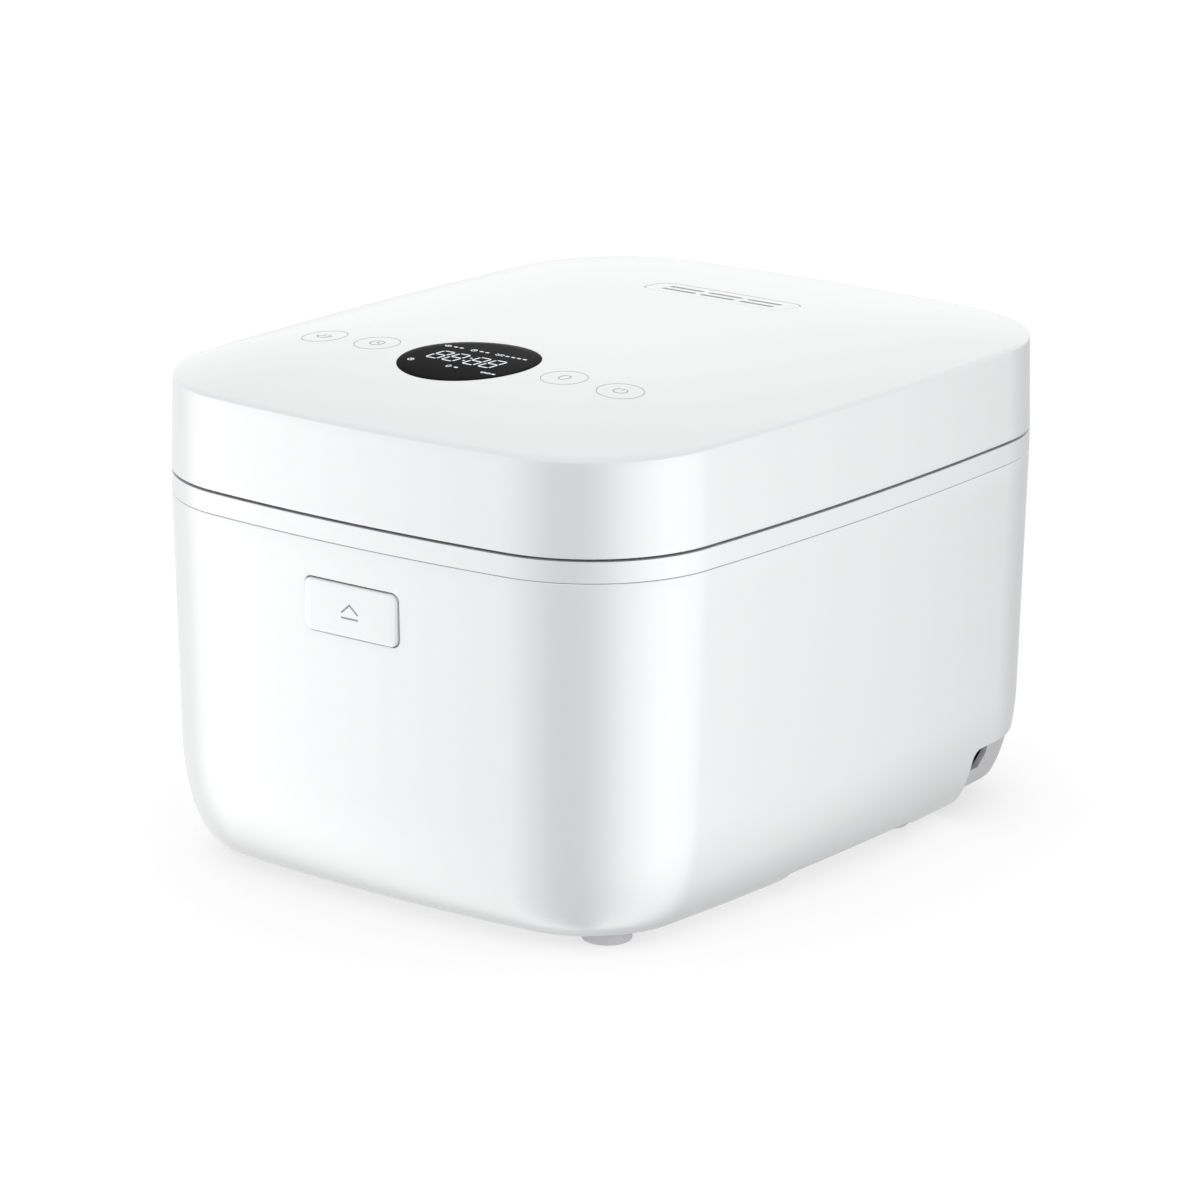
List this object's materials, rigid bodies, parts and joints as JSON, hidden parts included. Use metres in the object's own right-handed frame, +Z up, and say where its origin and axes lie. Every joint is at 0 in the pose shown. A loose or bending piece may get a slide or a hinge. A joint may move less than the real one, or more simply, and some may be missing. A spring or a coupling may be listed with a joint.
{
  "type": "electric rice cooker",
  "caption": "Electric rice cooker with a rounded box body, a hinged lid with a round display window, touch keys and steam vent, an inner pot and a front release button.",
  "frame": {"origin": "on the floor under the middle of the cooker", "axes": "+Z up, front face with the release button towards -Y, rear hinge towards +Y, +X to the right seen from the front"},
  "size_m": [0.262, 0.3266, 0.2119],
  "materials": {
    "shell_white": "satin gloss",
    "deck_white": "satin gloss",
    "base_grey": "fine texture",
    "lining_grey": "smooth",
    "black_plastic": "fine texture",
    "pin_brass": "plated",
    "pressed_steel": "rolled sheet",
    "spring_steel": "drawn wire",
    "cast_aluminium": "cast",
    "lid_aluminium": "satin",
    "heater_tube": "heat tinted",
    "pot_coating": "non-stick coating",
    "soft_silicone": "silicone",
    "foot_rubber": "soft matte",
    "circuit_green": "solder resist",
    "transformer_iron": "laminated",
    "capacitor_sleeve": "sleeve",
    "key_foam": "conductive foam",
    "window_black": "polished, smoked",
    "latch_nylon": "moulded"
  },
  "bodies": {
    "cooker_body": {"outer_shell": "shell_white", "deck": "deck_white", "base_plate": "base_grey", "rear_housing": "base_grey", "inlet_socket": "black_plastic", "inlet_pin_live": "pin_brass", "inlet_pin_neutral": "pin_brass", "inlet_pin_earth": "pin_brass", "heat_shield": "pressed_steel", "heating_plate": "cast_aluminium", "heating_element": "heater_tube", "thermal_fuse": "capacitor_sleeve", "sensor_bracket": "pressed_steel", "sensor_spring": "spring_steel", "inner_pot": "pot_coating", "rim_gasket": "soft_silicone", "power_board": "circuit_green", "transformer": "transformer_iron", "relay": "black_plastic", "capacitor": "capacitor_sleeve", "heat_sink": "cast_aluminium", "hinge_knuckle_left": "latch_nylon", "hinge_knuckle_right": "latch_nylon", "hinge_pin": "pressed_steel", "latch_pin": "pressed_steel", "latch_spring": "spring_steel", "foot_front_left": "foot_rubber", "foot_front_right": "foot_rubber", "foot_rear_left": "foot_rubber", "foot_rear_right": "foot_rubber", "plate_post_1": "pressed_steel", "plate_post_2": "pressed_steel", "plate_post_3": "pressed_steel", "base_screw_1": "pressed_steel", "base_screw_2": "pressed_steel", "base_screw_3": "pressed_steel"},
    "lid": {"lid_shell": "shell_white", "lid_frame": "lining_grey", "hinge_plate": "pressed_steel", "hinge_spring_left": "spring_steel", "hinge_spring_right": "spring_steel", "striker": "pressed_steel", "display_window": "window_black", "display_module": "black_plastic", "touch_board": "circuit_green", "touch_pad_1": "key_foam", "touch_pad_2": "key_foam", "touch_pad_3": "key_foam", "touch_pad_4": "key_foam", "inner_lid_plate": "lid_aluminium", "lid_seal": "soft_silicone", "inner_lid_clip": "lining_grey", "lid_thermistor": "lid_aluminium", "steam_well": "lining_grey", "steam_grommet": "soft_silicone"},
    "steam_vent": {"steam_cap": "shell_white", "steam_baffle": "lining_grey"},
    "button": {"release_button": "shell_white"},
    "latch": {"latch_hook": "latch_nylon"},
    "pot_sensor": {"sensor_cap": "lid_aluminium"}
  },
  "joints": [
    {"name": "lid_hinge", "type": "hinge", "parent": "cooker_body", "child": "lid", "pos_m": [0, 0.1575, 0.158], "axis": [-1, 0, 0], "range_deg": [0, 85]},
    {"name": "button_press", "type": "slide", "parent": "cooker_body", "child": "button", "axis": [0, 1, 0], "range_m": [0, 0.003], "stiffness_N_per_m": 500, "springref_m": -0.004},
    {"name": "latch_turn", "type": "hinge", "parent": "cooker_body", "child": "latch", "pos_m": [0, -0.138, 0.137], "axis": [1, 0, 0], "range_deg": [0, 13], "deforming": ["latch_spring"]},
    {"name": "steam_cap_lift", "type": "slide", "parent": "lid", "child": "steam_vent", "axis": [0, 0, 1], "range_m": [0, 0.035]},
    {"name": "sensor_plunge", "type": "slide", "parent": "cooker_body", "child": "pot_sensor", "axis": [0, 0, -1], "range_m": [0, 0.0015], "stiffness_N_per_m": 400, "springref_m": -0.005, "deforming": ["sensor_spring"]}
  ],
  "couplings": [
    {"joint": "latch_turn", "follows": "button_press", "rad_per_m": 74}
  ]
}
